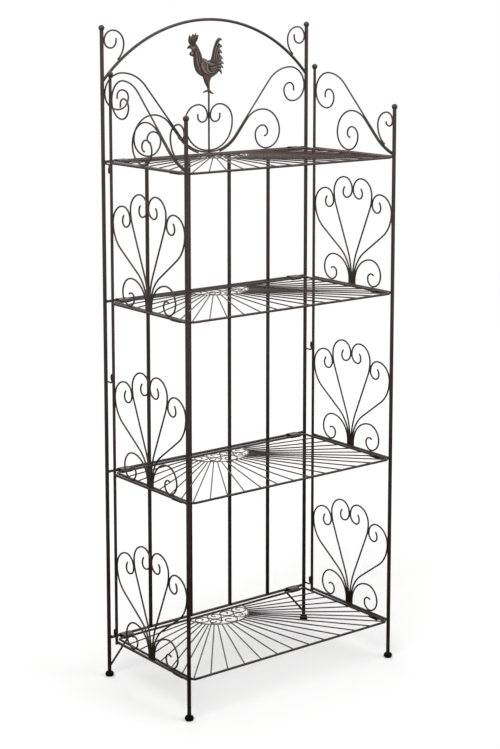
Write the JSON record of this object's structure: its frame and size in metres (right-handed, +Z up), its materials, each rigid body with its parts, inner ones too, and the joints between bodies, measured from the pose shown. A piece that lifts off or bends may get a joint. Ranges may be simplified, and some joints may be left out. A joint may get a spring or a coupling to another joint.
{
  "type": "bakers rack",
  "caption": "Free-standing folding bakers rack of scrolled iron rod: arched back panel with a rooster, hinged side panels and wire shelves that fold up on their rear wires.",
  "frame": {"origin": "on the floor, in the middle of the rectangle of the four feet", "axes": "+X to the right seen from the front, +Y to the back, where the rooster and the arch stand, +Z up"},
  "size_m": [0.6206, 0.3426, 1.5484],
  "materials": {
    "rod": "satin dark bronze paint over iron rod, worn a little coppery on raised places",
    "shelf_wire": "satin dark bronze paint over iron wire",
    "rooster": "satin dark bronze paint, rubbed brighter on the feathers",
    "feet": "dull black"
  },
  "bodies": {
    "back_panel": {"back_rail_1": "rod", "back_rail_2": "rod", "back_rail_3": "rod", "back_rail_4": "rod", "back_rod_1": "rod", "back_rod_2": "rod", "back_rod_3": "rod", "back_rod_4": "rod", "branch_scrolls": "rod", "corner_scrolls": "rod", "foot_braces": "rod", "heart_scrolls": "rod", "hinge_pintles": "rod", "left_rear_post": "rod", "rear_post_feet": "feet", "rear_post_finials": "rod", "right_rear_post": "rod", "rooster": "rooster", "rooster_stem": "rod", "shelf_hinge_clips": "rod", "top_arch": "rod", "wing_scrolls": "rod"},
    "left_side": {"left_crest_scrolls": "rod", "left_front_foot": "feet", "left_front_post": "rod", "left_hinge_post": "rod", "left_hinge_sleeves": "rod", "left_lower_fan": "rod", "left_middle_fan": "rod", "left_shelf_rests": "rod", "left_side_finials": "rod", "left_side_rails": "rod", "left_upper_fan": "rod"},
    "right_side": {"right_crest_scrolls": "rod", "right_front_foot": "feet", "right_front_post": "rod", "right_hinge_post": "rod", "right_hinge_sleeves": "rod", "right_lower_fan": "rod", "right_middle_fan": "rod", "right_shelf_rests": "rod", "right_side_finials": "rod", "right_side_rails": "rod", "right_upper_fan": "rod"},
    "shelf_1": {"shelf_1_frame": "shelf_wire", "shelf_1_medallion_rim": "shelf_wire", "shelf_1_medallion_scrolls": "shelf_wire", "shelf_1_spokes": "shelf_wire"},
    "shelf_2": {"shelf_2_frame": "shelf_wire", "shelf_2_medallion_rim": "shelf_wire", "shelf_2_medallion_scrolls": "shelf_wire", "shelf_2_spokes": "shelf_wire"},
    "shelf_3": {"shelf_3_frame": "shelf_wire", "shelf_3_medallion_rim": "shelf_wire", "shelf_3_medallion_scrolls": "shelf_wire", "shelf_3_spokes": "shelf_wire"},
    "shelf_4": {"shelf_4_frame": "shelf_wire", "shelf_4_medallion_rim": "shelf_wire", "shelf_4_medallion_scrolls": "shelf_wire", "shelf_4_spokes": "shelf_wire"}
  },
  "joints": [
    {"name": "left_side_hinge", "type": "hinge", "parent": "back_panel", "child": "left_side", "pos_m": [-0.3, 0.1357, 0.7], "axis": [0, 0, -1], "range_deg": [0, 90]},
    {"name": "right_side_hinge", "type": "hinge", "parent": "back_panel", "child": "right_side", "pos_m": [0.3, 0.1357, 0.7], "axis": [0, 0, 1], "range_deg": [0, 90]},
    {"name": "shelf_1_fold", "type": "hinge", "parent": "back_panel", "child": "shelf_1", "pos_m": [0, 0.1425, 1.2266], "axis": [-1, 0, 0], "range_deg": [0, 90]},
    {"name": "shelf_2_fold", "type": "hinge", "parent": "back_panel", "child": "shelf_2", "pos_m": [0, 0.1425, 0.9036], "axis": [-1, 0, 0], "range_deg": [0, 90]},
    {"name": "shelf_3_fold", "type": "hinge", "parent": "back_panel", "child": "shelf_3", "pos_m": [0, 0.1425, 0.4996], "axis": [-1, 0, 0], "range_deg": [0, 90]},
    {"name": "shelf_4_fold", "type": "hinge", "parent": "back_panel", "child": "shelf_4", "pos_m": [0, 0.1425, 0.0936], "axis": [-1, 0, 0], "range_deg": [0, 90]}
  ]
}
